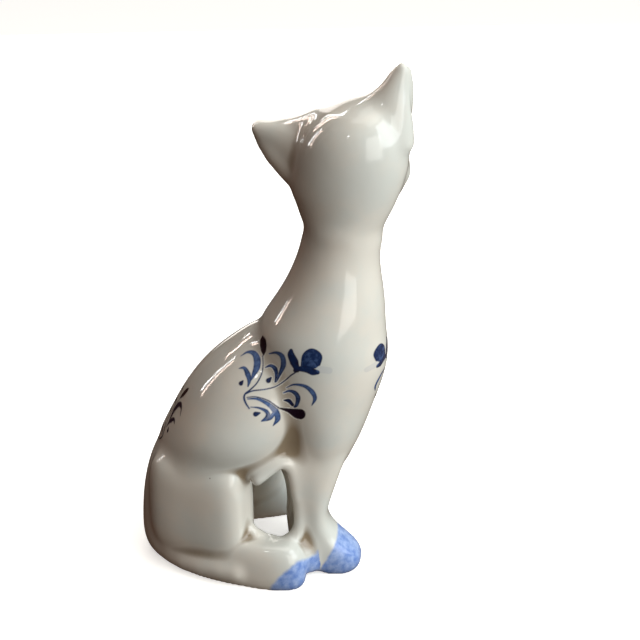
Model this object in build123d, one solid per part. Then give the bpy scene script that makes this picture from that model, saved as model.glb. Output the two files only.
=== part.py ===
from build123d import *
import os
from math import copysign, cos, pi, sin

# Seated cat figurine of glazed earthenware, built from clay castings and pressings that are luted together.
# The cat sits facing +X with its left side towards +Y. All sizes are in millimetres.

# Driving dimensions ------------------------------------------------------------------------------------------

wall = 3.6                 # thickness of the cast shells

sitting_height = 124.0     # floor to the joint between neck and head
body_length = 87.0         # rump to breast
rump_width = 52.0
chest_width = 40.0

pour_hole_diameter = 26.0
vent_diameter = 6.0

forequarters_offset = -3.0 # breast, neck and head stand a little to the cat's right of the rump
leg_width = 17.6
leg_spacing = 15.0         # between the middles of the two front legs
legs_offset = -5.0         # plane between the front legs, to the cat's right of the rump's middle
left_leg_setback = 5.8     # the left front leg stands this far behind the right one
right_paw_length = 20.7
left_paw_length = 16.4
paw_height = 13.8
ankle_height = 22.5
ankle_depth = 9.2
ankle_width = 16.4
leg_setback = 29.0         # breast back to the heel of the right front paw

foot_length = 45.0
foot_width = 15.6
foot_height = 16.2
foot_splay = 16.0          # degrees, toes outwards
right_foot_reach = 20.2    # from the rump's middle plane out to the middle of the foot
left_foot_reach = 24.0
left_foot_lead = 8.0       # the left hind foot lies this far ahead of the right one

haunch_length = 36.5
left_haunch_lead = 12.0    # the left knee stands this far ahead of the right one
haunch_width = 20.0
haunch_height = 44.0
haunch_splay = 22.0        # degrees
right_haunch_reach = 12.5  # from the rump's middle plane out to the middle of the haunch
left_haunch_reach = 18.6
haunch_lift = 6.5          # clear of the floor, over the hind foot

skull_length = 34.6
skull_width = 42.0
head_height = 43.4         # crown above the neck joint
skull_rise = 26.5          # middle of the skull above the neck joint
head_turn = 74.0           # degrees, to the cat's left
head_tilt = 26.0           # degrees, right ear up

ear_span = 55.6            # tip to tip
ear_rise = 20.8            # tips above the middle of the skull
right_ear_width = 26.0     # at the root
left_ear_width = 31.0
ear_base_thickness = 17.0
ear_tip_width = 2.6
ear_droop = 3.0            # the left ear's root sits this much lower than the right one's
ear_hollow = 5.0           # depth of the cup in the front of the ear

muzzle_length = 11.0
muzzle_width = 17.0
muzzle_height = 11.5
muzzle_drop = 5.5          # below the middle of the skull
muzzle_reach = 15.5        # middle of the muzzle ahead of the middle of the skull

tail_root_radius = 5.6
tail_tip_radius = 3.4

RIGHT, LEFT = -1, 1

breast_x = 23.0
rear_x = breast_x - body_length
right_heel_x = breast_x - leg_setback


# Outlines ----------------------------------------------------------------------------------------------------

def egg(height, back, front, half_width, across=0.0, turn=0.0, blunt=2.0, swell=0.0):
    """Closed level outline. Blunt of 2 is an ellipse and more is squarer; swell makes the front end wider than
    the back end. The turn is about the outline's middle."""
    middle = (back + front) / 2
    reach = (front - back) / 2
    points = []
    for step in range(16):
        angle = 2 * pi * step / 16
        c, s = cos(angle), sin(angle)
        points.append((
            reach * copysign(abs(c) ** (2 / blunt), c),
            half_width * (1 + swell * c) * copysign(abs(s) ** (2 / blunt), s),
            0,
        ))
    outline = Face(Wire(Spline(*points, periodic=True)))
    return Pos(middle, across, height) * Rot(0, 0, turn) * outline


def mass(rings, inset=0.0, across=0.0):
    """Solid through level rings of (height, back, front, half width), each drawn in by the inset."""
    return loft([egg(z, back + inset, front - inset, half - inset, across) for z, back, front, half in rings])


def along(share):
    """Place along the body, from 0 at the rump to 1 at the breast."""
    return rear_x + share * body_length


def body_rings(shares, width):
    """Rings from shares of the sitting height, the body length (back and front) and half the width."""
    return [
        (h * sitting_height, along(back), along(front), half * width / 2)
        for h, back, front, half in shares
    ]


# Torso: a rump shaped like an egg, and a breast and neck shaped like a vase ---------------------------------

rump_shares = [
    (0.000, 0.045, 0.430, 0.60),
    (0.030, 0.012, 0.440, 0.66),
    (0.090, 0.000, 0.445, 0.69),
    (0.180, 0.008, 0.445, 0.72),
    (0.260, 0.028, 0.445, 0.76),
    (0.310, 0.050, 0.480, 0.81),
    (0.350, 0.075, 0.580, 0.87),
    (0.390, 0.095, 0.670, 0.94),
    (0.440, 0.130, 0.700, 0.97),
    (0.500, 0.175, 0.740, 0.91),
    (0.560, 0.230, 0.750, 0.82),
    (0.620, 0.305, 0.745, 0.69),
    (0.665, 0.380, 0.725, 0.54),
    (0.700, 0.445, 0.695, 0.36),
    (0.722, 0.500, 0.655, 0.18),
]
breast_shares = [
    (0.320, 0.630, 0.850, 0.74),
    (0.410, 0.580, 0.905, 0.92),
    (0.470, 0.560, 0.936, 0.97),
    (0.550, 0.522, 0.974, 1.00),
    (0.630, 0.500, 1.000, 1.00),
    (0.710, 0.490, 0.995, 0.97),
    (0.780, 0.540, 0.988, 0.89),
    (0.850, 0.600, 0.977, 0.79),
    (0.910, 0.638, 0.966, 0.715),
    (0.960, 0.660, 0.968, 0.680),
    (1.000, 0.670, 0.979, 0.675),
]
rump_front_x = along(rump_shares[2][2])
rump_rings = body_rings(rump_shares, rump_width)
breast_rings = body_rings(breast_shares, chest_width)
torso_outer = mass(rump_rings) + mass(breast_rings, across=forequarters_offset)

# The hollows stop one wall short at floor and belly, and run out through the neck joint.
rump_hollow_rings = [(max(z, wall), b, f, w) for z, b, f, w in rump_rings if w > 3 * wall and z != rump_rings[1][0]]
breast_hollow_rings = [(breast_rings[0][0] + wall, *breast_rings[0][1:])] + breast_rings[1:]
torso_hollow = mass(rump_hollow_rings, wall) + mass(breast_hollow_rings, wall, forequarters_offset)

vent_x = (along(rump_shares[0][1]) + along(rump_shares[0][2])) / 2
pour_hole = Pos(vent_x, 0, wall / 2) * Cylinder(pour_hole_diameter / 2, wall)
torso_shell = torso_outer - torso_hollow - pour_hole
base_disc = pour_hole - Pos(vent_x, 0, wall / 2) * Cylinder(vent_diameter / 2, wall)


# Head --------------------------------------------------------------------------------------------------------

neck_z, neck_back, neck_front, neck_half = breast_rings[-1]
face_dir = Vector(1, 0, 0).rotate(Axis.Z, head_turn)
up_dir = Vector(0, 0, 1).rotate(Axis((0, 0, 0), tuple(face_dir)), -head_tilt)
neck_middle_x = (neck_back + neck_front) / 2
head_middle = Vector(neck_middle_x + 3.7, forequarters_offset + 1.5, neck_z + skull_rise)
head_frame = Plane(origin=head_middle, x_dir=face_dir, z_dir=up_dir)

# Rings from the neck joint to the crown: share of the head's height, share of its tilt, share of its length,
# share of its width, and how far the ring stands forward of the neck.
head_shares = [
    (0.090, 0.03, 0.79, 0.66, 0.2),
    (0.200, 0.12, 0.82, 0.76, 0.7),
    (0.360, 0.40, 0.91, 0.90, 1.5),
    (0.530, 0.80, 0.98, 1.00, 1.9),
    (0.690, 1.00, 0.98, 0.96, 1.4),
    (0.830, 1.00, 0.84, 0.82, 0.0),
    (0.940, 1.00, 0.54, 0.54, -1.4),
    (1.000, 1.00, 0.20, 0.22, -2.2),
]


def head_mass(inset, crown_rings):
    """Solid of the head from just under the neck joint, drawn in by the inset, less so many of the crown's rings."""
    start = neck_z - head_shares[0][0] * head_height
    rings = [Pos(neck_middle_x, forequarters_offset, start) * Circle(neck_half - inset)]
    for rise, lean, length, width, forward in head_shares[:len(head_shares) - crown_rings]:
        up = Vector(0, 0, 1).rotate(Axis((0, 0, 0), tuple(face_dir)), -lean * head_tilt)
        middle = Vector(neck_middle_x + forward, forequarters_offset + lean * 1.5, neck_z + rise * head_height)
        plane = Plane(origin=middle, x_dir=face_dir, z_dir=up)
        rings.append(plane * Ellipse(skull_length / 2 * length - inset, skull_width / 2 * width - inset))
    return loft(rings)


def ellipsoid(length, width, height):
    """Solid ellipsoid about the origin."""
    return scale(Sphere(1), by=(length / 2, width / 2, height / 2))


below_joint = Pos(neck_middle_x, forequarters_offset, neck_z - head_height / 2)
head_outer = head_mass(0, 0) - below_joint * Box(2 * skull_length, 2 * skull_width, head_height)
head_shell = head_outer - head_mass(wall, 2)


def ear(side):
    """Pressed ear: a flattened cone that leans outwards, cupped on the side the face looks to."""
    width = left_ear_width if side == LEFT else right_ear_width
    tip = Vector(-3, side * ear_span / 2, ear_rise)
    root = Vector(-2, side * skull_width * 0.24, 0.08 * head_height - (ear_droop if side == LEFT else 0))
    lean = (tip - root).normalized()
    frame = Plane(origin=root, x_dir=Vector(1, 0, 0), z_dir=lean)
    reach = (tip - root).length
    stations = [(0, 1.0), (0.36, 0.68), (0.68, 0.37), (0.90, 0.18)]
    sections = [
        frame.offset(reach * share) * Ellipse(ear_base_thickness / 2 * size, width / 2 * size)
        for share, size in stations
    ]
    sections.append(frame.offset(reach) * Ellipse(ear_tip_width / 3, ear_tip_width / 2))
    cup_place = root + lean * (reach * 0.52) + Vector(ear_base_thickness / 2, 0, 0)
    cup = Plane(origin=cup_place, x_dir=Vector(1, 0, 0), z_dir=lean)
    cup *= ellipsoid(2 * ear_hollow, width * 0.56, reach * 0.72)
    return head_frame * (loft(sections) - cup) - head_outer


muzzle_middle = Pos(muzzle_reach, 0, -muzzle_drop)
muzzle = head_frame * muzzle_middle * ellipsoid(muzzle_length, muzzle_width, muzzle_height) - head_outer


# Legs, haunches and feet -------------------------------------------------------------------------------------

def front_leg_outer(side):
    """Leg and paw: level rings from the floor up into the breast, split from its pair on the plane between."""
    chest_z = breast_rings[1][0]
    heel_x = right_heel_x - (left_leg_setback if side == LEFT else 0)
    paw_length = left_paw_length if side == LEFT else right_paw_length
    paw_half = leg_width / 2
    calf = chest_z - ankle_height
    rings = [
        (0, heel_x + 0.10 * paw_length, heel_x + 0.93 * paw_length, 0.88 * paw_half),
        (0.18 * paw_height, heel_x + 0.03 * paw_length, heel_x + paw_length, 0.97 * paw_half),
        (0.48 * paw_height, heel_x, heel_x + 0.96 * paw_length, paw_half),
        (0.80 * paw_height, heel_x - 0.4, heel_x + 0.76 * paw_length, 0.98 * paw_half),
        (1.12 * paw_height, heel_x - 0.4, heel_x + 0.56 * paw_length, 0.93 * paw_half),
        (ankle_height, heel_x - 0.4, heel_x - 0.4 + ankle_depth, ankle_width / 2),
        (ankle_height + 0.25 * calf, heel_x - 1.8, heel_x + 1.12 * ankle_depth, 0.99 * ankle_width / 2),
        (ankle_height + 0.50 * calf, heel_x - 4.6, heel_x + 1.36 * ankle_depth, 0.98 * ankle_width / 2),
        (ankle_height + 0.75 * calf, heel_x - 6.8, heel_x + 1.62 * ankle_depth, 0.94 * ankle_width / 2),
        (chest_z, heel_x - 7.4, heel_x + 1.74 * ankle_depth, 0.84 * ankle_width / 2),
        (chest_z + 0.25 * calf, heel_x - 7.0, heel_x + 1.74 * ankle_depth, 0.70 * ankle_width / 2),
    ]
    leg_y = legs_offset + side * leg_spacing / 2
    sections = [egg(z, back, front, half, leg_y, blunt=2.4) for z, back, front, half in rings]
    beyond = Pos(heel_x, legs_offset - side * leg_width, chest_z / 2)
    return loft(sections) - beyond * Box(4 * paw_length, 2 * leg_width, 2 * chest_z)


def hind_foot_outer(side):
    """Long low foot that lies along the floor under its haunch, toes outwards."""
    stack = [
        (0, 0.96, 0.90),
        (0.16, 1.0, 1.0),
        (0.46, 0.99, 0.98),
        (0.72, 0.94, 0.89),
        (0.91, 0.85, 0.72),
        (1, 0.74, 0.48),
    ]
    middle_x = right_heel_x - 0.46 * foot_length + (left_foot_lead if side == LEFT else 0)
    foot_reach = left_foot_reach if side == LEFT else right_foot_reach
    sections = []
    for rise, long, wide in stack:
        reach = foot_length / 2 * long
        sections.append(egg(
            rise * foot_height, middle_x - reach, middle_x + reach, foot_width / 2 * wide,
            side * foot_reach, side * foot_splay, 2.4, 0.12,
        ))
    return loft(sections)


def haunch_outer(side):
    """Thigh: a squarish pad with rounded shoulders that stands out from the rump over the hind foot."""
    stack = [
        (0, 0.78, 0.66),
        (0.10, 0.93, 0.88),
        (0.26, 1.0, 0.98),
        (0.55, 1.0, 1.0),
        (0.78, 0.98, 0.96),
        (0.92, 0.91, 0.84),
        (1, 0.76, 0.58),
    ]
    lead = left_haunch_lead if side == LEFT else 0
    haunch_reach = left_haunch_reach if side == LEFT else right_haunch_reach
    middle_x = rump_front_x - 0.45 * haunch_length + 0.6 * lead
    sections = []
    for rise, long, wide in stack:
        reach = (haunch_length + 0.8 * lead) / 2 * long
        sections.append(egg(
            haunch_lift + rise * (haunch_height - haunch_lift), middle_x - reach, middle_x + reach,
            haunch_width / 2 * wide, side * haunch_reach, side * haunch_splay, 3.4,
        ))
    return loft(sections)


def tail_outer():
    """Tail: comes from the rump, lies along the cat's left side and ends by the hind foot."""
    start = Vector(along(0.10), rump_width * 0.20, tail_root_radius)
    foot_side_y = left_foot_reach + foot_width / 2
    end = Vector(right_heel_x - 0.38 * foot_length, foot_side_y + 0.8 * tail_tip_radius, tail_tip_radius)
    bow = Vector((start.X * 2 + end.X) / 3, foot_side_y - 1.5, (start.Z + end.Z) / 2)
    path = ThreePointArc(start, bow, end)
    sections = []
    for step in range(7):
        share = step / 6
        radius = tail_root_radius + (tail_tip_radius - tail_root_radius) * share
        place = path @ share
        frame = Plane(origin=(place.X, place.Y, radius), x_dir=(0, 0, 1), z_dir=path % share)
        sections.append(frame * Circle(radius))
    rounded_tip = Pos(*(path @ 1)) * Sphere(tail_tip_radius)
    return loft(sections) + rounded_tip


castings = {
    "torso_shell": torso_shell,
    "base_disc": base_disc,
    "head_shell": head_shell,
    "muzzle": muzzle,
}
for side, name in ((RIGHT, "right"), (LEFT, "left")):
    haunch = haunch_outer(side)
    leg = front_leg_outer(side)
    foot = hind_foot_outer(side)
    castings[name + "_ear"] = ear(side)
    castings[name + "_haunch"] = haunch - torso_outer - leg
    castings[name + "_front_leg"] = leg - torso_outer
    castings[name + "_hind_foot"] = foot - torso_outer - haunch - leg
    if side == LEFT:
        castings["tail"] = tail_outer() - torso_outer - haunch - foot

# The part's origin is on the floor under the middle of its bounding box.
boxes = [casting.bounding_box() for casting in castings.values()]
middle_x = (min(box.min.X for box in boxes) + max(box.max.X for box in boxes)) / 2
middle_y = (min(box.min.Y for box in boxes) + max(box.max.Y for box in boxes)) / 2
home = Pos(-middle_x, -middle_y, 0)

os.makedirs("parts", exist_ok=True)
for name, casting in castings.items():
    export_step(home * casting, f"parts/{name}.step")
    print(name, round(casting.volume), "mm3")
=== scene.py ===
"""Seated cat figurine: clay castings luted together, brushed with cobalt and covered in a clear gloss glaze.

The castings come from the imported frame. One smooth fired skin is drawn over all of them, because luting and
glaze melt the joints away, and the skin is then parted again into one piece per casting. Brushwork lies on
the skin as thin painted patches. Sizes in the classes are in millimetres unless their name says otherwise.
"""

import logging
import math
from dataclasses import dataclass, field
from enum import Enum

import bmesh
import bpy
import numpy as np
from mathutils import Matrix, Vector
from mathutils.bvhtree import BVHTree


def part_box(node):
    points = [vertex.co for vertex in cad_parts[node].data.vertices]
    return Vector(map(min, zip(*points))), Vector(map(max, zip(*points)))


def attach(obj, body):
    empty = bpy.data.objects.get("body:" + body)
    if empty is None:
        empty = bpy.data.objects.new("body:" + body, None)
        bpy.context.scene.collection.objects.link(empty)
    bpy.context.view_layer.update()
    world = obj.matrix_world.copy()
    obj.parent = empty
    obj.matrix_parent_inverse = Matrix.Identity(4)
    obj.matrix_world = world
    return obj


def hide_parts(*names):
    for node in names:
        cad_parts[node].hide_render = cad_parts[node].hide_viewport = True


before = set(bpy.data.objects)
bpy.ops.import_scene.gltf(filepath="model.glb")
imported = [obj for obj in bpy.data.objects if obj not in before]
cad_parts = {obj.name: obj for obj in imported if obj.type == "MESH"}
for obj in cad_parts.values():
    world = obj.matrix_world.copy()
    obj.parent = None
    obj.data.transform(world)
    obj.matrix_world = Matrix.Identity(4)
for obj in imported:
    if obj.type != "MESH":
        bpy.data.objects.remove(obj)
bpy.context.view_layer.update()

log = logging.getLogger("cat_figurine")

MM = 0.001
DISC_BEHIND_MIDDLE = 43.34   # the pour hole's middle lies this far behind the cat's own zero
HEAD_MIDDLE = (11.4, -1.5, 150.5)
HEAD_TURN = 74.0             # degrees, to the cat's left
HEAD_TILT = 26.0             # degrees, right ear up
LEFT_LEG_SETBACK = 5.8
LEFT_FOOT_LEAD = 8.0


class Side(Enum):
    """Which side of the cat a piece is on, as the sign of its Y."""

    RIGHT = -1
    LEFT = 1


class Softness(Enum):
    """How far the clay of a casting was smoothed into its neighbours."""

    CRISP = 0.04
    FIRM = 0.16
    EASED = 0.42
    MELTED = 1.0


CASTINGS: dict[str, Softness] = {
    "torso_shell": Softness.MELTED,
    "head_shell": Softness.MELTED,
    "muzzle": Softness.MELTED,
    "left_ear": Softness.CRISP,
    "right_ear": Softness.CRISP,
    "left_haunch": Softness.EASED,
    "right_haunch": Softness.FIRM,
    "left_hind_foot": Softness.EASED,
    "right_hind_foot": Softness.FIRM,
    "left_front_leg": Softness.MELTED,
    "right_front_leg": Softness.MELTED,
    "tail": Softness.EASED,
}


def place(x: float, y: float, z: float) -> Vector:
    """Point in the frame, in metres, from millimetres ahead of, left of and above the cat's own zero.

    Args:
        x: Distance ahead of zero.
        y: Distance to the cat's left.
        z: Height above the floor.

    Returns:
        The point in the frame.
    """
    low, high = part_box("base_disc")
    middle = (low + high) / 2
    return Vector((middle.x + (DISC_BEHIND_MIDDLE + x) * MM, middle.y + y * MM, z * MM))


def linear(hex_code: str) -> tuple[float, float, float, float]:
    """Linear colour with full alpha from an sRGB hex code such as #a0b1c2."""
    parts = [int(hex_code[i:i + 2], 16) / 255 for i in (1, 3, 5)]
    red, green, blue = [p / 12.92 if p <= 0.04045 else ((p + 0.055) / 1.055) ** 2.4 for p in parts]
    return red, green, blue, 1.0


def head_axes() -> Matrix:
    """Rotation whose columns are the face's forward, the cat's left and the head's up."""
    turned = Matrix.Rotation(math.radians(HEAD_TURN), 3, "Z")
    forward = turned @ Vector((1, 0, 0))
    up = Matrix.Rotation(-math.radians(HEAD_TILT), 3, forward) @ Vector((0, 0, 1))
    left = up.cross(forward)
    return Matrix((forward, left, up)).transposed()


def head_place(forward: float, left: float, up: float) -> Vector:
    """Point in the frame from millimetres in the head's own axes."""
    return place(*HEAD_MIDDLE) + head_axes() @ (Vector((forward, left, up)) * MM)


# Finishes ----------------------------------------------------------------------------------------------

def add_node(tree: bpy.types.NodeTree, kind: str, inputs: dict | None = None, **settings) -> bpy.types.Node:
    """Adds one node, with its settings, values and links.

    Args:
        tree: Node tree to add to.
        kind: Node type.
        inputs: Values or sockets by input name or number.
        settings: Attributes of the node.

    Returns:
        The new node.
    """
    node = tree.nodes.new(kind)
    for name, value in settings.items():
        setattr(node, name, value)
    for name, value in (inputs or {}).items():
        if isinstance(value, bpy.types.NodeSocket):
            tree.links.new(value, node.inputs[name])
        else:
            node.inputs[name].default_value = value
    return node


@dataclass(frozen=True)
class ClearGlaze:
    """Clear gloss glaze over off-white clay: a wet shine with a faint roll in its surface."""

    body: str = "#dfdcd2"         # clay through the glaze
    cool_body: str = "#d5d9d3"    # where the glaze lies thicker
    pooled_glaze_shade: str = "#8d7f6a"       # glaze pooled in the folds, darkened further as painted shade
    speck: str = "#5d5046"        # iron specks and pinholes
    pale_cobalt: str = "#5f7caf"  # one thin stroke of cobalt
    deep_cobalt: str = "#152c55"  # a loaded brush
    manganese: str = "#1a0f1f"    # dark purple-black buds
    paw_pale: str = "#a6bfec"
    paw_deep: str = "#6f90d2"
    cloud_size: float = 26.0
    roll_size: float = 11.0
    speck_spacing: float = 13.0
    speck_radius: float = 0.32
    roughness: float = 0.055

    def make(self, name: str, painted: bool = False, dipped_paw: bool = False) -> bpy.types.Material:
        """Builds the glaze.

        Args:
            name: Material name.
            painted: Whether cobalt brushwork shows, from the paint and tone attributes.
            dipped_paw: Whether the toes are blue, from the paw attribute.

        Returns:
            The material.
        """
        material = bpy.data.materials.new(name)
        material.use_nodes = True
        tree = material.node_tree
        tree.nodes.clear()
        where = add_node(tree, "ShaderNodeTexCoord").outputs["Object"]
        clouds = add_node(tree, "ShaderNodeTexNoise", {
            "Vector": where, "Scale": 1 / (self.cloud_size * MM), "Detail": 4.0, "Roughness": 0.55,
        })
        cloudy = add_node(tree, "ShaderNodeMapRange", {
            "Value": clouds.outputs["Fac"], "From Min": 0.36, "From Max": 0.64,
        }, interpolation_type="SMOOTHSTEP")
        colour = self.mixed(tree, cloudy.outputs["Result"], linear(self.body), linear(self.cool_body))
        # glaze pooling in the folds, made darker and browner as painted shade
        pool = add_node(tree, "ShaderNodeAttribute", attribute_name="pool")
        colour = self.mixed(tree, pool.outputs["Fac"], colour, linear(self.pooled_glaze_shade))
        if dipped_paw:
            colour = self.dipped(tree, where, colour)
        colour = self.specked(tree, where, colour)
        if painted:
            colour = self.brushed(tree, where, colour)
        roll = add_node(tree, "ShaderNodeTexNoise", {
            "Vector": where, "Scale": 1 / (self.roll_size * MM), "Detail": 2.0, "Roughness": 0.4,
        })
        bump = add_node(tree, "ShaderNodeBump", {
            "Height": roll.outputs["Fac"], "Strength": 0.22, "Distance": 0.0009,
        })
        smear = add_node(tree, "ShaderNodeMapRange", {
            "Value": clouds.outputs["Fac"], "From Min": 0.3, "From Max": 0.7,
            "To Min": self.roughness, "To Max": self.roughness + 0.05,
        })
        shader = add_node(tree, "ShaderNodeBsdfPrincipled", {
            "Base Color": colour, "Roughness": smear.outputs["Result"], "IOR": 1.54,
            "Normal": bump.outputs["Normal"], "Specular IOR Level": 0.5,
        })
        add_node(tree, "ShaderNodeOutputMaterial", {"Surface": shader.outputs["BSDF"]})
        return material

    @staticmethod
    def mixed(tree: bpy.types.NodeTree, share, first, second):
        """Colour socket part of the way from first to second."""
        mix = add_node(tree, "ShaderNodeMix", {0: share, 6: first, 7: second}, data_type="RGBA")
        return mix.outputs[2]

    def specked(self, tree: bpy.types.NodeTree, where, colour):
        """Adds a few iron specks, each a third of a millimetre across."""
        cells = add_node(tree, "ShaderNodeTexVoronoi", {
            "Vector": where, "Scale": 1 / (self.speck_spacing * MM), "Randomness": 1.0,
        })
        near = add_node(tree, "ShaderNodeMapRange", {
            "Value": cells.outputs["Distance"], "To Min": 0.75, "To Max": 0.0,
            "From Min": 0.4 * self.speck_radius / self.speck_spacing,
            "From Max": self.speck_radius / self.speck_spacing,
        })
        chosen = add_node(tree, "ShaderNodeMath", {
            0: cells.outputs["Color"], 1: 0.62,
        }, operation="GREATER_THAN")
        share = add_node(tree, "ShaderNodeMath", {
            0: near.outputs["Result"], 1: chosen.outputs[0],
        }, operation="MULTIPLY")
        return self.mixed(tree, share.outputs[0], colour, linear(self.speck))

    def dipped(self, tree: bpy.types.NodeTree, where, colour):
        """Adds pale blue toes with a soft, slightly ragged upper line and a mottled wash."""
        wobble = add_node(tree, "ShaderNodeTexNoise", {"Vector": where, "Scale": 260.0, "Detail": 3.0})
        reach = add_node(tree, "ShaderNodeAttribute", attribute_name="paw")
        ragged = add_node(tree, "ShaderNodeMath", {
            0: wobble.outputs["Fac"], 1: 1.6, 2: reach.outputs["Fac"],
        }, operation="MULTIPLY_ADD")
        inside = add_node(tree, "ShaderNodeMapRange", {
            "Value": ragged.outputs[0], "From Min": 0.25, "From Max": 1.5,
        }, interpolation_type="SMOOTHSTEP")
        wash = add_node(tree, "ShaderNodeTexNoise", {
            "Vector": where, "Scale": 330.0, "Detail": 5.0, "Roughness": 0.62,
        })
        mottled = add_node(tree, "ShaderNodeMapRange", {
            "Value": wash.outputs["Fac"], "From Min": 0.38, "From Max": 0.66,
        })
        blue = self.mixed(tree, mottled.outputs["Result"], linear(self.paw_deep), linear(self.paw_pale))
        return self.mixed(tree, inside.outputs["Result"], colour, blue)

    def brushed(self, tree: bpy.types.NodeTree, where, colour):
        """Adds brushwork: thin pale cobalt, loaded deep cobalt, and manganese for the buds."""
        paint = add_node(tree, "ShaderNodeAttribute", attribute_name="paint")
        tone = add_node(tree, "ShaderNodeAttribute", attribute_name="tone")
        drag = add_node(tree, "ShaderNodeTexNoise", {
            "Vector": where, "Scale": 620.0, "Detail": 4.0, "Roughness": 0.6,
        })
        uneven = add_node(tree, "ShaderNodeMapRange", {
            "Value": drag.outputs["Fac"], "From Min": 0.3, "From Max": 0.7, "To Min": -0.14, "To Max": 0.14,
        })
        loaded = add_node(tree, "ShaderNodeMath", {
            0: tone.outputs["Fac"], 1: uneven.outputs["Result"],
        }, operation="ADD")
        low = add_node(tree, "ShaderNodeMapRange", {
            "Value": loaded.outputs[0], "From Min": 0.1, "From Max": 0.55,
        })
        high = add_node(tree, "ShaderNodeMapRange", {
            "Value": loaded.outputs[0], "From Min": 0.6, "From Max": 0.95,
        })
        cobalt = self.mixed(tree, low.outputs["Result"], linear(self.pale_cobalt), linear(self.deep_cobalt))
        pigment = self.mixed(tree, high.outputs["Result"], cobalt, linear(self.manganese))
        return self.mixed(tree, paint.outputs["Fac"], colour, pigment)


@dataclass(frozen=True)
class BareClay:
    """Unglazed fired earthenware, wiped before firing: matt, fine grained and slightly toasted."""

    pale: str = "#cdbfa8"
    toasted: str = "#a98d6d"
    grain: float = 0.7

    def make(self, name: str) -> bpy.types.Material:
        """Builds the bare clay under the given name."""
        material = bpy.data.materials.new(name)
        material.use_nodes = True
        tree = material.node_tree
        tree.nodes.clear()
        where = add_node(tree, "ShaderNodeTexCoord").outputs["Object"]
        blotch = add_node(tree, "ShaderNodeTexNoise", {"Vector": where, "Scale": 90.0, "Detail": 5.0})
        grit = add_node(tree, "ShaderNodeTexNoise", {
            "Vector": where, "Scale": 1 / (self.grain * MM), "Detail": 3.0,
        })
        colour = ClearGlaze.mixed(tree, blotch.outputs["Fac"], linear(self.pale), linear(self.toasted))
        bump = add_node(tree, "ShaderNodeBump", {
            "Height": grit.outputs["Fac"], "Strength": 0.5, "Distance": 0.0002,
        })
        shader = add_node(tree, "ShaderNodeBsdfPrincipled", {
            "Base Color": colour, "Roughness": 0.88, "Normal": bump.outputs["Normal"],
        })
        add_node(tree, "ShaderNodeOutputMaterial", {"Surface": shader.outputs["BSDF"]})
        return material


# Fired skin --------------------------------------------------------------------------------------------

class Neighbours:
    """Averages over each vertex's neighbours, for smoothing shapes and spreading values."""

    def __init__(self, mesh: bpy.types.Mesh) -> None:
        """Reads the edges of the mesh."""
        ends = np.empty(len(mesh.edges) * 2, np.int32)
        mesh.edges.foreach_get("vertices", ends)
        self.first, self.second = ends.reshape(-1, 2).T
        self.total = len(mesh.vertices)
        self.count = np.bincount(ends, minlength=self.total).astype(float)
        self.count[self.count == 0] = 1

    def mean(self, values: np.ndarray) -> np.ndarray:
        """Mean of the neighbours' values, for one value or one row per vertex."""
        columns = values.reshape(self.total, -1)
        result = np.empty_like(columns)
        for k in range(columns.shape[1]):
            column = columns[:, k]
            result[:, k] = np.bincount(self.first, column[self.second], self.total)
            result[:, k] += np.bincount(self.second, column[self.first], self.total)
        return (result / self.count[:, None]).reshape(values.shape)

    def largest_patch(self, chosen: np.ndarray) -> np.ndarray:
        """Vertex numbers of the largest joined patch among the chosen vertices."""
        inside = chosen[self.first] & chosen[self.second]
        first, second = self.first[inside], self.second[inside]
        label = np.arange(self.total)
        while True:
            low = np.minimum(label[first], label[second])
            before = label.copy()
            np.minimum.at(label, first, low)
            np.minimum.at(label, second, low)
            label = label[label]
            if (label == before).all():
                break
        numbers, sizes = np.unique(label[chosen], return_counts=True)
        return np.flatnonzero(chosen & (label == numbers[sizes.argmax()]))

    def island(self, start: int) -> np.ndarray:
        """Mask of the vertices joined to the starting one."""
        reached = np.zeros(self.total, bool)
        reached[start] = True
        size = 0
        while reached.sum() > size:
            size = int(reached.sum())
            for _ in range(12):
                crossing = reached[self.first] | reached[self.second]
                reached[self.first[crossing]] = True
                reached[self.second[crossing]] = True
        return reached


@dataclass(frozen=True)
class Coil:
    """A roll of clay laid on a casting: its line as x, y, z and radius at each point."""

    casting: str
    softness: Softness
    line: tuple[tuple[float, float, float, float], ...]


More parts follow.
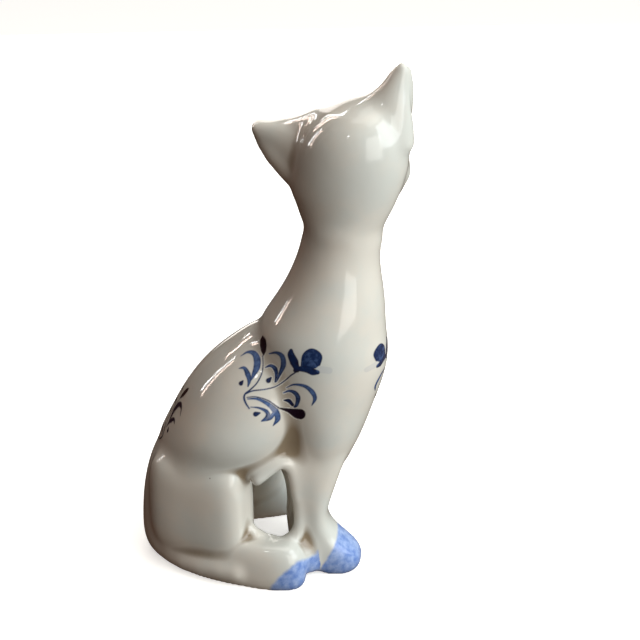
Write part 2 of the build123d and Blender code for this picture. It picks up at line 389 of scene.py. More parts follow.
ARCH_RIM_ON_BELLY = (
    (-23.6, -22.4, 38.2, 1.5), (-21.5, -22.4, 39.8, 1.8), (-18.0, -21.4, 42.2, 1.8),
    (-14.8, -20.2, 44.6, 1.9), (-12.2, -19.4, 45.4, 2.0), (-10.0, -18.9, 42.8, 2.1), (-8.9, -18.8, 38.0, 2.1),
)
ARCH_RIM_ON_LEG = ARCH_RIM_ON_BELLY[-1:] + (
    (-8.2, -18.6, 33.0, 2.1), (-7.5, -18.4, 28.0, 2.1), (-7.1, -18.5, 23.0, 2.1), (-7.2, -18.8, 18.5, 2.4),
    (-8.4, -19.6, 15.4, 2.8), (-11.0, -20.2, 13.4, 3.2),
)
COILS = (
    Coil("torso_shell", Softness.CRISP, ARCH_RIM_ON_BELLY),
    Coil("right_front_leg", Softness.CRISP, ARCH_RIM_ON_LEG),
    # fillets behind the rim, under the belly
    Coil("torso_shell", Softness.MELTED, (
        (-23.0, -18.0, 41.5, 3.4), (-19.0, -17.4, 44.0, 3.6), (-14.5, -16.0, 47.5, 3.4))),
    Coil("torso_shell", Softness.MELTED, ((-22.0, -13.5, 43.5, 4.0), (-14.5, -12.0, 48.0, 3.6))),
    # web from the hind foot to the front leg, and the rounded rear corner of the arch
    Coil("right_hind_foot", Softness.CRISP, (
        (-4.0, -19.0, 5.0, 4.4), (-5.5, -20.0, 8.0, 4.2),
        (-6.8, -19.8, 11.5, 3.4), (-10.5, -19.6, 13.0, 2.8))),
    Coil("right_hind_foot", Softness.CRISP, (
        (-25.0, -19.0, 19.0, 2.2), (-23.6, -19.4, 16.6, 2.8), (-20.5, -19.8, 14.2, 3.2))),
    # foot of the rump, along the floor
    Coil("right_hind_foot", Softness.EASED, (
        (-55.6, -7.4, 4.4, 4.6), (-51.6, -11.8, 4.4, 4.8), (-46.8, -15.8, 4.4, 4.9),
        (-41.0, -19.2, 4.6, 5.0), (-34.0, -22.4, 5.0, 5.0), (-27.0, -24.8, 5.2, 5.0))),
    # under and along the top of the left ear, then the outer edge of the right ear
    Coil("left_ear", Softness.CRISP, (
        (-19.9, 7.4, 155.4, 2.6), (-16.8, 5.8, 151.9, 4.0), (-13.0, 4.4, 148.6, 5.4),
        (-9.0, 3.0, 145.4, 6.2), (-5.6, 1.5, 142.0, 6.2), (-2.0, 0.0, 138.2, 5.0))),
    Coil("left_ear", Softness.CRISP, (
        (-19.9, 7.4, 156.2, 2.4), (-14.0, 5.8, 155.8, 3.2), (-8.0, 3.6, 155.8, 4.6),
        (-3.0, 1.5, 157.0, 5.6), (1.0, 0.0, 159.0, 6.0))),
    Coil("right_ear", Softness.CRISP, (
        (26.7, -6.6, 178.4, 1.8), (26.9, -5.6, 174.0, 2.4),
        (26.6, -4.4, 169.0, 3.0), (25.4, -3.2, 164.0, 4.0))),
    # right cheek
    Coil("head_shell", Softness.MELTED, (
        (24.2, 2.0, 148.0, 5.6), (23.6, 0.5, 143.5, 6.0), (20.6, -1.0, 138.0, 6.0))),
)


@dataclass(frozen=True)
class Rub:
    """A place rubbed down with a wet finger: its middle, radius and strength from 0 to 1."""

    middle: tuple[float, float, float]
    radius: float
    strength: float


RUBS = (
    Rub((-25.6, -22.6, 37.0), 3.6, 1.0),    # rear end of the arch's rim
    Rub((30.5, 0.5, 154.5), 8.0, 0.9),      # root of the right ear
    Rub((12.0, -4.0, 172.0), 10.0, 0.8),    # crown
)


@dataclass
class ClaySkin:
    """The smooth outer surface over all the castings."""

    voxel: float = 0.72
    easing_rounds: int = 16
    fold_rounds: int = 170
    fold_full: float = 0.09        # a fold this deep after a light smoothing counts in full
    pool_shade_spread: int = 110         # rounds of levelling that find the hollows where glaze gathers and painted shade falls
    pool_shade_depth: float = 0.62       # a hollow this deep gets the full pooled glaze and painted shade
    pool_shade_start: float = 0.06       # share of that depth where pooled glaze and painted shade start
    beads_per_stretch: int = 5     # along a coil, between two of its points
    plug_depth: float = 3.0        # stops up the pour hole above the disc
    floor_reach: float = 0.25      # clay this close to the floor stands on it
    lip_depth: float = 1.6         # how far each piece turns in under its neighbours
    eye_ahead: float = 11.2
    eye_apart: float = 9.6         # each eye, out from the nose
    eye_drop: float = 4.2
    eye_half: tuple[float, float, float] = (5.2, 5.0, 4.4)
    legs_plane: float = -4.8       # y between the front legs
    names: list[str] = field(default_factory=lambda: list(CASTINGS))

    def beads(self) -> list[tuple[Vector, Vector, str, Softness]]:
        """Clay additions, as beads along each coil and one over each eye.

        Returns:
            Middle, half sizes, casting and softness of each bead.
        """
        found = []
        for coil in COILS:
            for here, there in zip(coil.line, coil.line[1:]):
                for step in range(self.beads_per_stretch):
                    share = step / self.beads_per_stretch
                    x, y, z, r = [p + (q - p) * share for p, q in zip(here, there)]
                    found.append((place(x, y, z), Vector((r, r, r)) * MM, coil.casting, coil.softness))
        for side in Side:
            eye = head_place(self.eye_ahead, side.value * self.eye_apart, -self.eye_drop)
            found.append((eye, Vector(self.eye_half) * MM, "head_shell", Softness.EASED))
        return found

    def gather(self) -> tuple[bpy.types.Object, BVHTree, np.ndarray, np.ndarray]:
        """Joins copies of the castings and the additions.

        Returns:
            The joined object, a tree for nearest points on it, and the casting's number and softness by face.
        """
        joined = bmesh.new()
        owners: list[int] = []
        softness: list[float] = []
        for number, name in enumerate(self.names):
            start = len(joined.faces)
            part = bmesh.new()
            part.from_mesh(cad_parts[name].data)
            bmesh.ops.remove_doubles(part, verts=part.verts, dist=1e-6)
            scratch = bpy.data.meshes.new("scratch")
            part.to_mesh(scratch)
            part.free()
            joined.from_mesh(scratch)
            bpy.data.meshes.remove(scratch)
            owners += [number] * (len(joined.faces) - start)
            softness += [CASTINGS[name].value] * (len(joined.faces) - start)
        for middle, half, name, soft in self.beads():
            start = len(joined.faces)
            shape = Matrix.Translation(middle) @ Matrix.Diagonal((*half, 1))
            bmesh.ops.create_icosphere(joined, subdivisions=3, radius=1, matrix=shape)
            owners += [self.names.index(name)] * (len(joined.faces) - start)
            softness += [soft.value] * (len(joined.faces) - start)
        low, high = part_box("base_disc")
        middle = (low + high) / 2
        start = len(joined.faces)
        plug = Matrix.Translation((middle.x, middle.y, high.z + (self.plug_depth / 2 + 0.1) * MM))
        radius = (high.x - low.x) / 2 + 1.0 * MM
        bmesh.ops.create_cone(
            joined, cap_ends=True, segments=64, radius1=radius, radius2=radius, depth=self.plug_depth * MM,
            matrix=plug)
        owners += [0] * (len(joined.faces) - start)
        softness += [Softness.CRISP.value] * (len(joined.faces) - start)
        mesh = bpy.data.meshes.new("joined_castings")
        joined.to_mesh(mesh)
        tree = BVHTree.FromBMesh(joined)
        joined.free()
        source = bpy.data.objects.new("joined_castings", mesh)
        bpy.context.scene.collection.objects.link(source)
        return source, tree, np.array(owners), np.array(softness)

    def cast(self) -> tuple[bpy.types.Object, np.ndarray]:
        """Draws the skin over the castings and smooths it.

        Returns:
            The skin, whose mesh carries the pool (pooled glaze and painted shade), paw and glaze_normal
            attributes, and the number of the casting that each face belongs to.
        """
        source, tree, owners, softness = self.gather()
        remesh = source.modifiers.new("skin", "REMESH")
        remesh.mode = "VOXEL"
        remesh.voxel_size = self.voxel * MM
        remesh.use_smooth_shade = True
        shell = bpy.data.meshes.new_from_object(source.evaluated_get(bpy.context.evaluated_depsgraph_get()))
        bpy.data.objects.remove(source)
        shell = self.outer_only(shell)
        near = Neighbours(shell)
        points = np.empty(len(shell.vertices) * 3)
        shell.vertices.foreach_get("co", points)
        points = points.reshape(-1, 3)
        nearest = np.array([tree.find_nearest(Vector(p))[2] for p in points])
        vertex_owner = owners[nearest]
        fold, soft = self.folds(shell, near, points, softness[nearest])
        points = self.smooth(near, points, fold, soft)
        points[:, 2] = np.where(points[:, 2] < self.floor_reach * MM, 0.0, points[:, 2])
        shell.vertices.foreach_set("co", points.ravel())
        shell.update()
        self.write_values(shell, near, points)
        faces = self.face_owners(shell, near, vertex_owner)
        skin = bpy.data.objects.new("skin", shell)
        bpy.context.scene.collection.objects.link(skin)
        return skin, faces

    @staticmethod
    def outer_only(shell: bpy.types.Mesh) -> bpy.types.Mesh:
        """Drops the walls of the sealed hollow, which nothing can see."""
        near = Neighbours(shell)
        heights = np.empty(len(shell.vertices) * 3)
        shell.vertices.foreach_get("co", heights)
        keep = near.island(int(np.argmax(heights[2::3])))
        cut = bmesh.new()
        cut.from_mesh(shell)
        cut.verts.ensure_lookup_table()
        inner = [v for v, kept in zip(cut.verts, keep) if not kept]
        bmesh.ops.delete(cut, geom=inner, context="VERTS")
        cut.to_mesh(shell)
        cut.free()
        return shell

    def folds(
        self, shell: bpy.types.Mesh, near: Neighbours, points: np.ndarray, softness: np.ndarray,
    ) -> tuple[np.ndarray, np.ndarray]:
        """Depth of the folds between castings, and how soft the clay is there, each from 0 to 1."""
        normals = np.empty(len(shell.vertices) * 3)
        shell.vertices.foreach_get("normal", normals)
        normals = normals.reshape(-1, 3)
        eased = points.copy()
        for _ in range(8):
            eased += 0.5 * (near.mean(eased) - eased)
        raised = ((eased - points) * normals).sum(1)
        fold = np.clip(raised / (self.fold_full * MM), 0, 1)
        for _ in range(9):
            fold = np.maximum(fold, 0.97 * near.mean(fold))
        for _ in range(6):
            fold = near.mean(fold)
        for _ in range(6):
            softness = near.mean(softness)
        for rub in RUBS:
            apart = np.linalg.norm(points - np.array(place(*rub.middle)), axis=1) / (rub.radius * MM)
            pressed = rub.strength * np.clip(1.2 - apart, 0, 1)
            fold, softness = np.maximum(fold, pressed > 0), np.maximum(softness, pressed)
        return fold, softness

    def smooth(self, near: Neighbours, points: np.ndarray, fold: np.ndarray, soft: np.ndarray) -> np.ndarray:
        """Fills the folds, then evens the whole skin without shrinking it."""
        strength = (0.5 * fold * soft)[:, None]
        for _ in range(self.fold_rounds):
            points = points + strength * (near.mean(points) - points)
        for _ in range(self.easing_rounds):
            points = points + 0.5 * (near.mean(points) - points)
            points = points - 0.46 * (near.mean(points) - points)
        return points

    def write_values(self, shell: bpy.types.Mesh, near: Neighbours, points: np.ndarray) -> None:
        """Stores the glaze's pooling with painted shade in the hollows, the toes' dipping line and the even
        normals on the skin.
        """
        normals = np.empty(len(shell.vertices) * 3)
        shell.vertices.foreach_get("normal", normals)
        normals = normals.reshape(-1, 3)
        # pooled glaze colour with painted shade, deepest in the hollows
        level = points
        for _ in range(self.pool_shade_spread):
            level = near.mean(level)
        depth = ((level - points) * normals).sum(1) / (self.pool_shade_depth * MM)
        pool = shell.attributes.new("pool", "FLOAT", "POINT")
        pool.data.foreach_set("value", np.clip(depth - self.pool_shade_start, 0, 1).astype(np.float32))
        paw = shell.attributes.new("paw", "FLOAT", "POINT")
        paw.data.foreach_set("value", self.dipped_depth(points).astype(np.float32))
        for _ in range(3):
            normals = near.mean(normals)
        normals /= np.linalg.norm(normals, axis=1)[:, None]
        even = shell.attributes.new("glaze_normal", "FLOAT_VECTOR", "POINT")
        even.data.foreach_set("vector", normals.astype(np.float32).ravel())

    def dipped_depth(self, points: np.ndarray) -> np.ndarray:
        """Depth inside the blue of the nearest dipped paw in millimetres, below zero outside it.

        Each paw was dipped toes first, so its blue ends at a plane that slopes back towards the heel.
        """
        x, y, z = ((points - np.array(place(0, 0, 0))) / MM).T
        outside = -50.0
        behind = np.where(y > self.legs_plane, LEFT_LEG_SETBACK + 3.0, 0.0)
        front_paw = 0.888 * (x - 5.8 + behind) - 0.459 * (z - 13.7)
        right_toes = 0.613 * x - 0.628 * y - 0.48 * z - 7.8
        left_toes = 0.613 * (x - LEFT_FOOT_LEAD) + 0.628 * y - 0.48 * z - 7.8
        right_toes = np.where((y > -10) | (x > 0), outside, right_toes)
        left_toes = np.where(y < 14, outside, left_toes)
        deepest = np.max([np.maximum(front_paw, outside), right_toes, left_toes], axis=0)
        return np.where(z > 20, outside, deepest)

    def face_owners(self, shell: bpy.types.Mesh, near: Neighbours, vertex_owner: np.ndarray) -> np.ndarray:
        """Casting number of each face, with ragged borders evened out."""
        shares = np.eye(len(self.names))[vertex_owner]
        for _ in range(5):
            shares = near.mean(shares)
        owner = shares.argmax(1)
        for number in range(len(self.names)):
            mine = np.flatnonzero(owner == number)
            largest = near.largest_patch(owner == number)
            stray = np.setdiff1d(mine, largest, assume_unique=True)
            shares[stray, number] = -1
            owner[stray] = shares[stray].argmax(1)
        shares = np.eye(len(self.names))[owner]
        corners = np.empty(len(shell.loops), np.int32)
        shell.loops.foreach_get("vertex_index", corners)
        starts = np.empty(len(shell.polygons), np.int32)
        shell.polygons.foreach_get("loop_start", starts)
        return np.add.reduceat(shares[corners], starts, axis=0).argmax(1)

    def part(self, skin: bpy.types.Object, faces: np.ndarray) -> dict[str, bpy.types.Object]:
        """Parts the skin into one closed piece per casting, with no seam showing between them."""
        for name in self.names:
            skin.data.materials.append(bpy.data.materials.new("part_" + name))
        skin.data.polygons.foreach_set("material_index", faces.astype(np.int32))
        bpy.ops.object.select_all(action="DESELECT")
        skin.select_set(True)
        bpy.context.view_layer.objects.active = skin
        bpy.ops.mesh.separate(type="MATERIAL")
        pieces = {}
        for piece in list(bpy.context.selected_objects):
            materials = piece.data.materials
            number = piece.data.polygons[0].material_index if len(materials) > 1 else 0
            name = materials[number].name
            pieces[name.removeprefix("part_")] = piece
            self.close(piece)
        return pieces

    def close(self, piece: bpy.types.Object) -> None:
        """Caps the piece where it met its neighbours and gives it the skin's even normals."""
        mesh = piece.data
        shape = bmesh.new()
        shape.from_mesh(mesh)
        even = shape.verts.layers.float_vector["glaze_normal"]
        border = [e for e in shape.edges if e.is_boundary]
        lip = bmesh.ops.extrude_edge_only(shape, edges=border)["geom"]
        for vert in (v for v in lip if isinstance(v, bmesh.types.BMVert)):
            vert.co -= Vector(vert[even]) * self.lip_depth * MM
        rim = [e for e in shape.edges if e.is_boundary]
        capped = bmesh.ops.holes_fill(shape, edges=rim, sides=0)["faces"]
        bmesh.ops.triangulate(shape, faces=capped)
        loose = [v for v in shape.verts if not v.link_faces]
        bmesh.ops.delete(shape, geom=loose, context="VERTS")
        for face in shape.faces:
            face.smooth = True
            face.material_index = 0
        shape.to_mesh(mesh)
        shape.free()
        mesh.materials.clear()
        normals = np.empty(len(mesh.vertices) * 3, np.float32)
        mesh.attributes["glaze_normal"].data.foreach_get("vector", normals)
        mesh.normals_split_custom_set_from_vertices(normals.reshape(-1, 3))


# Brushwork ---------------------------------------------------------------------------------------------

@dataclass(frozen=True)
class Stroke:
    """One touch of the brush: its path and width in millimetres, how dark it is and how strong."""

    path: tuple[tuple[float, float], ...]
    widths: tuple[float, ...]
    tone: float
    strength: float = 1.0

    def samples(self, step: float = 0.22) -> tuple[np.ndarray, np.ndarray]:
        """Points along a smooth curve through the path, a step apart, and the half width at each."""
        knots = np.array(self.path, float)
        if len(knots) == 1:
            return knots, np.array([self.widths[0] / 2])
        count = 6 + int(np.linalg.norm(np.diff(knots, axis=0), axis=1).sum() / step)
        padded = np.vstack([2 * knots[0] - knots[1], knots, 2 * knots[-1] - knots[-2]])
        places = np.linspace(0, len(knots) - 1 - 1e-6, count)
        whole = places.astype(int)
        t = (places - whole)[:, None]
        a, b, c, d = (padded[whole + k] for k in range(4))
        square, cube = 2 * a - 5 * b + 4 * c - d, 3 * b - a - 3 * c + d
        curve = 0.5 * (2 * b + (c - a) * t + square * t ** 2 + cube * t ** 3)
        half = np.interp(places / (len(knots) - 1), np.linspace(0, 1, len(self.widths)), self.widths) / 2
        return curve, half


FLOWER_SPRAY = (
    Stroke(((1.4, -5.1), (0.3, -3.4), (-0.3, -1.6), (0.1, -0.2), (1.7, 1.1), (3.9, 3.3), (5.5, 6.3),
            (6.0, 9.2), (5.9, 12.5)), (0.55, 0.75, 0.6, 0.5, 0.45, 0.4), 0.42),
    Stroke(((5.9, 19.0), (6.1, 16.0), (6.2, 12.7)), (0.4, 2.1, 2.4, 1.9, 0.4), 1.0),
    Stroke(((0.1, -0.2), (2.6, 0.8), (6.6, 1.3), (10.1, 2.2), (13.0, 4.0), (15.3, 6.0), (16.8, 7.0)),
           (0.6, 0.45, 0.45, 0.5), 0.45),
    Stroke(((15.5, 14.4), (15.5, 12.9), (16.5, 10.6), (17.5, 8.0)), (1.2, 2.4, 2.9, 1.8), 0.62),
    Stroke(((19.6, 9.6), (20.6, 12.2), (22.3, 13.2), (24.0, 12.2), (24.4, 10.0)),
           (1.9, 3.2, 3.9, 3.6, 1.6), 0.55),
    Stroke(((22.2, 11.2),), (6.0,), 0.5),
    Stroke(((17.5, 8.4), (20.5, 8.2), (22.6, 7.4), (24.2, 7.2)), (1.6, 2.3, 2.4, 1.5), 0.6),
    Stroke(((17.0, 7.8),), (1.7,), 0.85),
    Stroke(((24.8, 8.2), (28.0, 7.8)), (2.4, 2.2), 0.1, 0.13),
    Stroke(((-1.6, 12.3), (0.7, 13.6), (2.9, 13.2), (4.0, 11.2), (3.9, 8.7), (2.9, 6.3), (1.8, 4.0)),
           (0.25, 0.8, 1.9, 2.5, 2.3, 1.4, 0.35), 0.27),
    Stroke(((-2.1, 8.2), (-0.3, 8.3), (0.9, 6.3), (1.4, 4.3), (1.0, 2.3)), (0.3, 1.2, 1.9, 1.4, 0.5), 0.34),
    Stroke(((-0.7, 4.1), (-1.4, 3.2)), (0.5, 1.5), 0.6),
    Stroke(((8.1, 13.2), (10.6, 13.6), (12.5, 12.4), (12.9, 9.7), (11.8, 6.8), (10.5, 3.8)),
           (0.4, 1.0, 1.7, 1.9, 1.2, 0.35), 0.3),
    Stroke(((6.8, 8.6), (8.6, 9.2), (10.1, 8.2), (10.5, 6.3), (10.1, 3.8)), (0.4, 1.1, 1.6, 1.2, 0.6), 0.4),
    Stroke(((8.7, 5.2), (7.8, 4.2)), (0.6, 1.7), 0.62),
    Stroke(((13.8, 1.9), (16.5, 3.0), (20.0, 2.5), (22.4, 0.6), (23.3, -1.6), (22.3, -4.0)),
           (0.3, 0.7, 1.2, 1.7, 1.4, 0.3), 0.3),
    Stroke(((12.8, 0.1), (14.8, 0.8), (16.8, 0.1), (17.7, -1.6), (17.2, -3.9), (16.5, -4.6)),
           (0.4, 0.9, 1.5, 1.7, 1.2, 0.8), 0.36),
    Stroke(((13.0, -2.4), (14.6, -2.6), (15.8, -3.9)), (0.5, 1.5, 1.2), 0.66),
    Stroke(((0.7, -1.4), (3.6, -1.2), (7.6, -2.4), (11.1, -4.9)), (0.35, 0.4, 0.45, 0.6), 0.55),
    Stroke(((11.5, -5.1), (14.5, -5.9), (17.2, -6.9), (18.4, -7.1)), (0.5, 1.5, 3.4, 3.6), 1.0),
    Stroke(((0.9, -1.9), (4.1, -1.9), (7.6, -3.6), (10.1, -6.1), (10.8, -8.6), (9.3, -11.0)),
           (0.4, 0.9, 1.4, 2.2, 1.9, 0.3), 0.3),
    Stroke(((1.9, -4.6), (4.6, -4.9), (7.1, -6.1), (7.6, -7.8), (5.5, -9.3)),
           (0.3, 0.7, 1.3, 1.7, 0.4), 0.34),
    Stroke(((9.9, -6.4), (8.2, -8.4), (5.5, -9.4)), (1.4, 1.4, 0.4), 0.34),
    Stroke(((4.9, -6.6), (3.5, -7.0)), (0.6, 1.7), 0.5),
)

FACE_MARKS = tuple(
    Stroke(tuple((side * a, b) for a, b in path), widths, tone)
    for side in (-1, 1)
    for path, widths, tone in (
        (((5.6, -4.6), (7.2, -2.2), (10.2, -1.0), (13.2, -1.5), (15.6, -3.4)),
         (0.5, 0.9, 1.0, 0.9, 0.3), 0.8),
        (((6.2, -4.9), (8.2, -5.9), (11.0, -6.1), (13.6, -4.6)), (0.3, 0.5, 0.5, 0.3), 0.6),
        (((10.1, -2.2), (10.0, -3.8), (10.1, -5.4)), (1.4, 2.6, 1.2), 0.95),
        (((0.0, -10.8), (1.3, -12.4), (3.4, -12.3), (4.8, -11.0)), (0.4, 0.55, 0.5, 0.3), 0.6),
        (((5.4, -9.2),), (0.7,), 0.55),
        (((6.9, -9.9),), (0.6,), 0.55),
        (((6.4, -8.2),), (0.6,), 0.55),
    )
) + (
    Stroke(((-1.5, -7.0), (1.5, -7.0)), (1.1, 1.5, 1.1), 0.75),
    Stroke(((0.0, -7.2), (0.0, -9.2), (0.0, -10.9)), (1.8, 0.8, 0.4), 0.7),
)


@dataclass
class Brushwork:
    """A group of strokes brushed on the skin from one direction."""

    name: str
    strokes: tuple[Stroke, ...]
    anchor: Vector                 # the strokes' zero, in the frame, in metres
    facing: Vector                 # from the brush towards the clay
    up: Vector
    size: float = 1.0
    least_tone: float = 0.0        # every stroke of the group at least this dark
    mirrored: bool = False
    turn: float = 0.0              # degrees
    spacing: float = 0.2           # grid of the patch
    proud: float = 0.035
    bleed: float = 0.34            # width over which a stroke's edge fades out
    reach: float = 0.6             # paint never shows further than this from a stroke
    margin: float = 3.2            # bare patch round the strokes before it is trimmed
    faintest: float = 0.004        # cover below this is trimmed away
    standoff: float = 80.0         # the brush starts this far from the clay

    def coverage(self, flat: np.ndarray) -> tuple[np.ndarray, np.ndarray]:
        """Paint cover and tone at points of the stroke plane."""
        cover = np.zeros(len(flat))
        weight = np.full(len(flat), 1e-6)
        toned = np.zeros(len(flat))
        for stroke in self.strokes:
            curve, half = stroke.samples()
            reach = half.max() + self.reach
            close = ((flat > curve.min(0) - reach) & (flat < curve.max(0) + reach)).all(1)
            gap = np.linalg.norm(flat[close][:, None, :] - curve[None], axis=2) - half[None]
            edge = gap.min(1)
            laid = np.clip(0.5 - edge / self.bleed, 0, 1)
            laid = laid * laid * (3 - 2 * laid)
            rim = np.exp(-((edge + 0.2) / 0.16) ** 2) * 0.14
            along = gap.argmin(1) / max(len(curve) - 1, 1)
            cover[close] = np.maximum(cover[close], laid * stroke.strength)
            toned[close] += laid * (stroke.tone + rim + 0.12 * (along - 0.4))
            weight[close] += laid
        return cover, np.maximum(toned / weight, self.least_tone)

    def make(
        self, skin: BVHTree, normals: np.ndarray, corners: list, finish: bpy.types.Material,
    ) -> bpy.types.Object:
        """Lays the strokes on the skin.

        Args:
            skin: Tree of the unparted skin.
            normals: The skin's even normal at each vertex.
            corners: Vertex numbers and places of each face of the skin.
            finish: Painted glaze.

        Returns:
            The painted patch, a little proud of the skin.
        """
        every = np.vstack([s.samples()[0] for s in self.strokes])
        low, high = every.min(0) - self.margin, every.max(0) + self.margin
        across, along = np.ceil((high - low) / self.spacing).astype(int)
        patch = bmesh.new()
        bmesh.ops.create_grid(patch, x_segments=int(across), y_segments=int(along), size=0.5)
        scale = high - low
        flat = low + (np.array([v.co[:2] for v in patch.verts]) + 0.5) * scale
        cover, tone = self.coverage(flat)
        wanted = cover > self.faintest
        patch.verts.ensure_lookup_table()
        bare = [f for f in patch.faces if not any(wanted[v.index] for v in f.verts)]
        paint = patch.verts.layers.float.new("paint")
        toned = patch.verts.layers.float.new("tone")
        for vert, c, t in zip(patch.verts, cover, tone):
            vert[paint] = float(c)
            vert[toned] = float(t)
        bmesh.ops.delete(patch, geom=bare, context="FACES")
        facing = self.facing.normalized()
        right = facing.cross(self.up).normalized()
        upward = right.cross(facing)
        spin = Matrix.Rotation(math.radians(self.turn), 2)
        flip = -1 if self.mirrored else 1
        carried, missed = [], []
        for vert in patch.verts:
            over, rise = low + (np.array(vert.co[:2]) + 0.5) * scale
            over, rise = spin @ Vector((over * flip, rise))
            start = self.anchor + ((right * over + upward * rise) * self.size - facing * self.standoff) * MM
            point, _, face, _ = skin.ray_cast(start, facing)
            if point is None:
                missed.append(vert)
                continue
            normal = Vector()
            for number, corner in corners[face]:
                normal += Vector(normals[number]) / max((corner - point).length, 1e-6)
            normal.normalize()
            vert.co = point + normal * self.proud * MM
            carried.append(normal)
        bmesh.ops.delete(patch, geom=missed, context="VERTS")
        if self.mirrored:
            bmesh.ops.reverse_faces(patch, faces=patch.faces)
        for face in patch.faces:
            face.smooth = True
        mesh = bpy.data.meshes.new(self.name)
        patch.to_mesh(mesh)
        patch.free()
        mesh.materials.append(finish)
        # no pooled glaze or painted shade on the painted patches
        pool = mesh.attributes.new("pool", "FLOAT", "POINT")
        pool.data.foreach_set("value", np.zeros(len(mesh.vertices), np.float32))
        mesh.normals_split_custom_set_from_vertices([tuple(normal) for normal in carried])
        piece = bpy.data.objects.new(self.name, mesh)
        bpy.context.scene.collection.objects.link(piece)
        return piece


# Studio ------------------------------------------------------------------------------------------------

@dataclass
class Studio:
    """Camera, pale floor and soft light."""

    distance: float = 500.0
    pitch: float = 25.0            # degrees below level
    focal: float = 82.6
    aim: tuple[float, float, float] = (0.0, 0.0, 89.9)
    lit: tuple[float, float, float] = (0.0, 0.0, 95.0)       # where every lamp points
    # Room light as linear colour, from the dim left to the bright right.
    level: tuple = ((0.15, 0.06, 0.03, 1), (0.86, 0.88, 0.82, 1))
    above: tuple = ((0.33, 0.25, 0.22, 1), (0.92, 0.96, 0.94, 1))
    table: tuple = ((0.055, 0.022, 0.010, 1), (0.34, 0.26, 0.19, 1))
    room_strength: float = 0.62

    def camera(self) -> None:
        """Stands the camera on the cat's right, looking slightly down."""
        data = bpy.data.cameras.new("camera")
        data.lens = self.focal
        data.sensor_width = 36.0
        data.clip_start, data.clip_end = 0.01, 50.0
        holder = bpy.data.objects.new("camera", data)
        bpy.context.scene.collection.objects.link(holder)
        fall = math.radians(self.pitch)
        back = Vector((0, -math.cos(fall), math.sin(fall)))
        holder.location = place(*self.aim) + back * self.distance * MM
        holder.rotation_euler = (-back).to_track_quat("-Z", "Y").to_euler()
        bpy.context.scene.camera = holder

    def lamp(self, name: str, where: tuple, size: tuple[float, float], power: float, tint: str,
             gloss_only: bool = False) -> None:
        """Adds one soft rectangular lamp aimed at the cat's chest.

        Args:
            name: Lamp name.
            where: Millimetres from the cat's own zero.
            size: Width and height in metres.
            power: Watts.
            tint: Hex colour.
            gloss_only: True for a window that shows as a reflection and adds no light.
        """
        data = bpy.data.lights.new(name, "AREA")
        data.shape = "RECTANGLE"
        data.size, data.size_y = size
        data.energy = power
        data.color = linear(tint)[:3]
        holder = bpy.data.objects.new(name, data)
        bpy.context.scene.collection.objects.link(holder)
        holder.visible_diffuse = not gloss_only
        holder.location = place(*where)
        holder.rotation_euler = (place(*self.lit) - holder.location).to_track_quat("-Z", "Y").to_euler()

    def sky(self) -> None:
        """Room light by direction: warm and dim from the left and below, cool and bright from the right."""
        world = bpy.data.worlds.new("room")
        bpy.context.scene.world = world
        world.use_nodes = True
        tree = world.node_tree
        tree.nodes.clear()
        where = add_node(tree, "ShaderNodeTexCoord").outputs["Generated"]
        parts = add_node(tree, "ShaderNodeSeparateXYZ", {0: where})
        sideways = add_node(tree, "ShaderNodeMapRange", {
            "Value": parts.outputs["X"], "From Min": -0.45, "From Max": 0.9,
        }, interpolation_type="SMOOTHSTEP")
        upward = add_node(tree, "ShaderNodeMapRange", {
            "Value": parts.outputs["Z"], "From Min": -0.1, "From Max": 0.85,
        }, interpolation_type="SMOOTHSTEP")
        level = ClearGlaze.mixed(tree, sideways.outputs["Result"], *self.level)
        above = ClearGlaze.mixed(tree, sideways.outputs["Result"], *self.above)
        colour = ClearGlaze.mixed(tree, upward.outputs["Result"], level, above)
        downward = add_node(tree, "ShaderNodeMapRange", {
            "Value": parts.outputs["Z"], "From Min": 0.02, "From Max": -0.3,
        }, interpolation_type="SMOOTHSTEP")
        table = ClearGlaze.mixed(tree, sideways.outputs["Result"], *self.table)
        colour = ClearGlaze.mixed(tree, downward.outputs["Result"], colour, table)
        glow = add_node(tree, "ShaderNodeBackground", {"Color": colour, "Strength": self.room_strength})
        add_node(tree, "ShaderNodeOutputWorld", {"Surface": glow.outputs[0]})

    def ground(self) -> None:
        """Pale floor and a pale backdrop that only the camera sees."""
        floor = bmesh.new()
        bmesh.ops.create_circle(floor, cap_ends=True, segments=96, radius=3.6)
        mesh = bpy.data.meshes.new("floor")
        floor.to_mesh(mesh)
        floor.free()
        ground = bpy.data.objects.new("floor", mesh)
        dome = bmesh.new()
        bmesh.ops.create_uvsphere(dome, u_segments=64, v_segments=32, radius=3.5)
        mesh = bpy.data.meshes.new("backdrop")
        dome.to_mesh(mesh)
        dome.free()
        backdrop = bpy.data.objects.new("backdrop", mesh)
        for thing in (ground, backdrop):
            bpy.context.scene.collection.objects.link(thing)
            thing.visible_diffuse = thing.visible_glossy = thing.visible_transmission = False
            thing.visible_volume_scatter = False
        backdrop.visible_shadow = False
        ground.data.materials.append(self.paper("floor_paper", "#fafaf8", 0.62))
        backdrop.data.materials.append(self.paper("backdrop_paper", "#f9f9f7", 1.25))

    @staticmethod
    def paper(name: str, tint: str, glow: float) -> bpy.types.Material:
        """Matt pale paper with a faint tooth, lit by itself where it is a backdrop."""
        material = bpy.data.materials.new(name)
        material.use_nodes = True
        tree = material.node_tree
        tree.nodes.clear()
        where = add_node(tree, "ShaderNodeTexCoord").outputs["Object"]
        tooth = add_node(tree, "ShaderNodeTexNoise", {"Vector": where, "Scale": 900.0, "Detail": 2.0})
        bump = add_node(tree, "ShaderNodeBump", {"Height": tooth.outputs["Fac"], "Strength": 0.05})
        shader = add_node(tree, "ShaderNodeBsdfPrincipled", {
            "Base Color": linear(tint), "Roughness": 0.9, "Specular IOR Level": 0.1,
            "Normal": bump.outputs["Normal"], "Emission Color": linear(tint), "Emission Strength": glow,
        })
        add_node(tree, "ShaderNodeOutputMaterial", {"Surface": shader.outputs["BSDF"]})
        return material

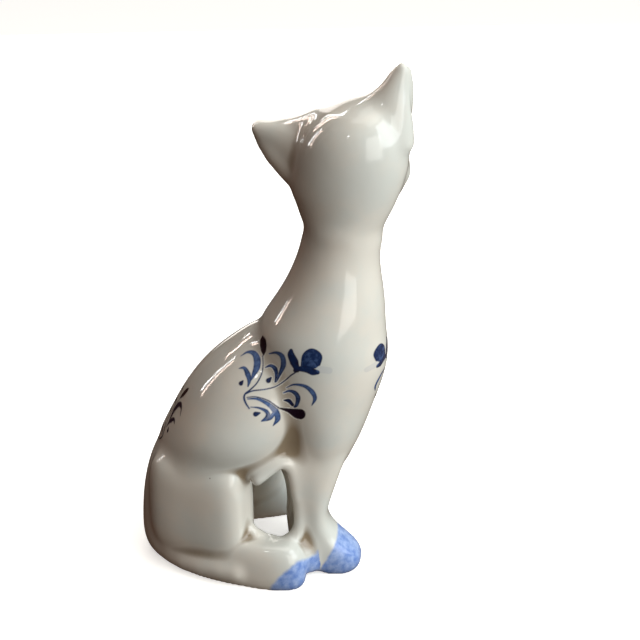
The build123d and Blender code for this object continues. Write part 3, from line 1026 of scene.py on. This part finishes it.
    def build(self) -> None:
        """Sets up everything round the cat."""
        self.camera()
        self.sky()
        self.ground()
        self.lamp("window_left", (-430, 250, 520), (0.03, 0.36), 0.9, "#ffe3d6", True)
        self.lamp("window_middle", (-370, 300, 530), (0.02, 0.36), 0.6, "#fff4ee", True)
        self.lamp("window_right", (-300, 350, 540), (0.03, 0.36), 0.8, "#ffffff", True)
        self.lamp("window_low_left", (-600, 90, 350), (0.02, 0.30), 0.5, "#ffe3d6", True)
        self.lamp("window_low_right", (-585, 150, 350), (0.02, 0.30), 0.5, "#ffffff", True)
        self.lamp("glint", (-190, -430, 430), (0.035, 0.035), 0.08, "#ffffff", True)
        self.lamp("soft_right", (640, -300, 400), (0.5, 0.6), 3.8, "#f4faff")
        self.lamp("soft_low", (420, -600, 170), (0.4, 0.4), 1.5, "#fdfaf4")
        self.lamp("soft_far", (-60, 720, 240), (0.5, 0.6), 2.6, "#fffaf4")
        self.lamp("soft_top", (160, -80, 800), (0.7, 0.7), 2.6, "#fffaf2")


# Figurine ----------------------------------------------------------------------------------------------

@dataclass
class Figurine:
    """The whole cat."""

    glaze: ClearGlaze = field(default_factory=ClearGlaze)
    clay: BareClay = field(default_factory=BareClay)
    skin: ClaySkin = field(default_factory=ClaySkin)

    def brushwork(self) -> list[Brushwork]:
        """The painted sprays and the face."""
        forward, _, up = head_axes().transposed()
        slope = math.radians(25)
        level_up = Vector((0, 0, 1))
        return [
            Brushwork("right_flank_spray", FLOWER_SPRAY, place(-25.0, -20.0, 72.3),
                      Vector((0, math.cos(slope), -math.sin(slope))), level_up),
            Brushwork("left_flank_spray", FLOWER_SPRAY, place(-25.0, 18.0, 66.0),
                      Vector((0, -1, -0.3)), level_up, mirrored=True),
            Brushwork("back_spray", FLOWER_SPRAY, place(-55.5, -6.5, 50.0),
                      Vector((1, 0.15, -0.45)), level_up,
                      size=0.98, mirrored=True, turn=-20.0, least_tone=0.84),
            Brushwork("chest_spray", FLOWER_SPRAY, place(19.5, 8.0, 73.0),
                      Vector((-1, 0.0, 0.0)), level_up, size=0.92, mirrored=True),
            Brushwork("face_marks", FACE_MARKS, head_place(14.0, 0.0, 0.0), -forward, up),
        ]

    def build(self) -> None:
        """Makes every piece of the cat."""
        skin, faces = self.skin.cast()
        log.info("skin: %d faces", len(skin.data.polygons))
        mesh = skin.data
        spots = [v.co.copy() for v in mesh.vertices]
        tree = BVHTree.FromPolygons(spots, [tuple(p.vertices) for p in mesh.polygons])
        corners = [[(i, spots[i]) for i in p.vertices] for p in mesh.polygons]
        normals = np.empty(len(mesh.vertices) * 3, np.float32)
        mesh.attributes["glaze_normal"].data.foreach_get("vector", normals)
        painted = self.glaze.make("brushed_gloss_glaze", painted=True)
        for work in self.brushwork():
            patch = work.make(tree, normals.reshape(-1, 3), corners, painted)
            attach(patch, "root")
            log.info("%s: %d faces", patch.name, len(patch.data.polygons))
        plain = self.glaze.make("clear_gloss_glaze")
        dipped = self.glaze.make("blue_dipped_glaze", dipped_paw=True)
        for name, piece in self.skin.part(skin, faces).items():
            piece.name = "glazed_" + name
            blue = name.endswith(("leg", "foot"))
            piece.data.materials.append(dipped if blue else plain)
            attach(piece, "root")
            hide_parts(name)
            log.info("%s: %d faces", piece.name, len(piece.data.polygons))
        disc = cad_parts["base_disc"]
        disc.data.materials.clear()
        disc.data.materials.append(self.clay.make("bare_fired_clay"))


def main() -> None:
    """Builds the studio and the cat."""
    logging.basicConfig(level=logging.INFO, format="%(message)s")
    bpy.context.scene.view_settings.view_transform = "Standard"
    Studio().build()
    Figurine().build()


if __name__ == "__main__":
    main()
